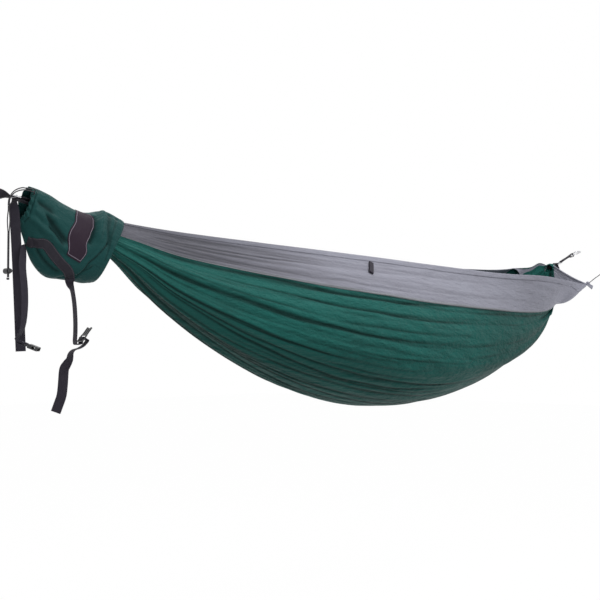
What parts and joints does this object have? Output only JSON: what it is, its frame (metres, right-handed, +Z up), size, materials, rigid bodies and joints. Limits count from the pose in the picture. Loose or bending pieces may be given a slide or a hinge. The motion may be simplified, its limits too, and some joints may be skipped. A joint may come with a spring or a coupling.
{
  "type": "travel hammock",
  "caption": "Gathered-end cloth hammock in panels, hung by webbing, cinch buckles and gate carabiners, with a sewn stuff sack, cord lock and side-release strap.",
  "frame": {"origin": "the point where the left carabiner hangs from its anchor, which is the wire of its outer bow", "axes": "+X from the left anchor to the right one, +Z up, +Y away from the viewer"},
  "size_m": [2.978, 0.5111, 0.6107],
  "materials": {
    "green_nylon": "thin parachute nylon",
    "grey_nylon": "thin parachute nylon",
    "sack_nylon": "thin nylon",
    "black_webbing": "woven webbing",
    "black_cord": "braided cord",
    "label_patch": "woven patch",
    "black_plastic": "moulded",
    "steel": "polished wire"
  },
  "bodies": {
    "anchors": {"left_carabiner": "steel", "right_carabiner": "steel", "left_gate_pin": "steel", "right_gate_pin": "steel"},
    "left_gate": {"left_gate": "steel"},
    "right_gate": {"right_gate": "steel"},
    "hammock": {"centre_panel": "green_nylon", "near_side_panel": "grey_nylon", "far_side_panel": "grey_nylon", "near_edge_tab": "black_webbing", "far_edge_tab": "black_webbing", "near_corner_knot": "grey_nylon", "near_corner_cord": "black_cord", "left_gather_hem": "green_nylon", "right_gather_hem": "green_nylon", "left_end_loop": "black_webbing", "right_end_loop": "black_webbing", "left_cinch_buckle": "steel", "right_cinch_buckle": "steel", "left_suspension_strap": "black_webbing", "right_suspension_strap": "black_webbing"},
    "left_tail": {"left_strap_tail": "black_webbing"},
    "right_tail": {"right_strap_tail": "black_webbing"},
    "sack": {"stuff_sack": "sack_nylon", "sack_label": "label_patch", "sack_strap": "black_webbing", "drawcord_upper_front": "black_cord", "drawcord_upper_back": "black_cord"},
    "strap_male": {"male_strap_end": "black_webbing", "male_clip": "black_plastic"},
    "strap_male_tail": {"male_strap_tail": "black_webbing"},
    "strap_female": {"female_strap_end": "black_webbing", "female_clip": "black_plastic"},
    "drawcord": {"drawcord_run_front": "black_cord", "drawcord_run_back": "black_cord", "drawcord_knot": "black_cord"},
    "cord_lock": {"cord_lock_barrel": "black_plastic"},
    "lock_plunger": {"cord_lock_plunger": "black_plastic"}
  },
  "joints": [
    {"name": "left_gate_hinge", "type": "hinge", "parent": "anchors", "child": "left_gate", "pos_m": [0.0397, 0, 0.006], "axis": [0, -1, 0], "range_deg": [0, 20], "stiffness_Nm_per_rad": 0.05, "springref_deg": -17.19},
    {"name": "right_gate_hinge", "type": "hinge", "parent": "anchors", "child": "right_gate", "pos_m": [2.9359, 0.013, -0.012], "axis": [0.315, 0, -0.9491], "range_deg": [0, 20], "stiffness_Nm_per_rad": 0.05, "springref_deg": -17.19},
    {"name": "hammock_swing", "type": "hinge", "parent": "anchors", "child": "hammock", "pos_m": [0.0531, 0, -0.0096], "axis": [1, 0, -0.0026], "range_deg": [-12, 12]},
    {"name": "left_tail_swing", "type": "hinge", "parent": "hammock", "child": "left_tail", "pos_m": [0.2164, 0, -0.0475], "axis": [0, -1, 0], "range_deg": [-3, 0.8]},
    {"name": "right_tail_swing", "type": "hinge", "parent": "hammock", "child": "right_tail", "pos_m": [2.7819, 0, -0.0716], "axis": [0, 1, 0], "range_deg": [-15, 15]},
    {"name": "sack_sway", "type": "hinge", "parent": "hammock", "child": "sack", "pos_m": [0.43, 0, -0.062], "axis": [1, 0, 0], "range_deg": [-2, 0.5]},
    {"name": "male_strap_swing", "type": "hinge", "parent": "sack", "child": "strap_male", "pos_m": [0.3629, -0.0227, -0.2303], "axis": [-0.8439, 0.5023, -0.1882], "range_deg": [-10, 10]},
    {"name": "male_tail_swing", "type": "hinge", "parent": "strap_male", "child": "strap_male_tail", "pos_m": [0.4013, -0.037, -0.3825], "axis": [-0.2079, -0.9781, 0], "range_deg": [-10, 10]},
    {"name": "female_strap_swing", "type": "hinge", "parent": "sack", "child": "strap_female", "pos_m": [0.2365, -0.0108, -0.1534], "axis": [0.7322, 0.6811, 0], "range_deg": [-6, 2]},
    {"name": "drawcord_swing", "type": "hinge", "parent": "sack", "child": "drawcord", "pos_m": [0.1844, -0.0265, -0.066], "axis": [1, 0, 0], "range_deg": [-12, 12]},
    {"name": "cord_lock_slide", "type": "slide", "parent": "drawcord", "child": "cord_lock", "axis": [0, 0, 1], "range_m": [-0.006, 0.07]},
    {"name": "lock_plunger_press", "type": "slide", "parent": "cord_lock", "child": "lock_plunger", "axis": [0, 1, 0], "range_m": [0, 0.004], "stiffness_N_per_m": 400, "springref_m": -0.006}
  ]
}
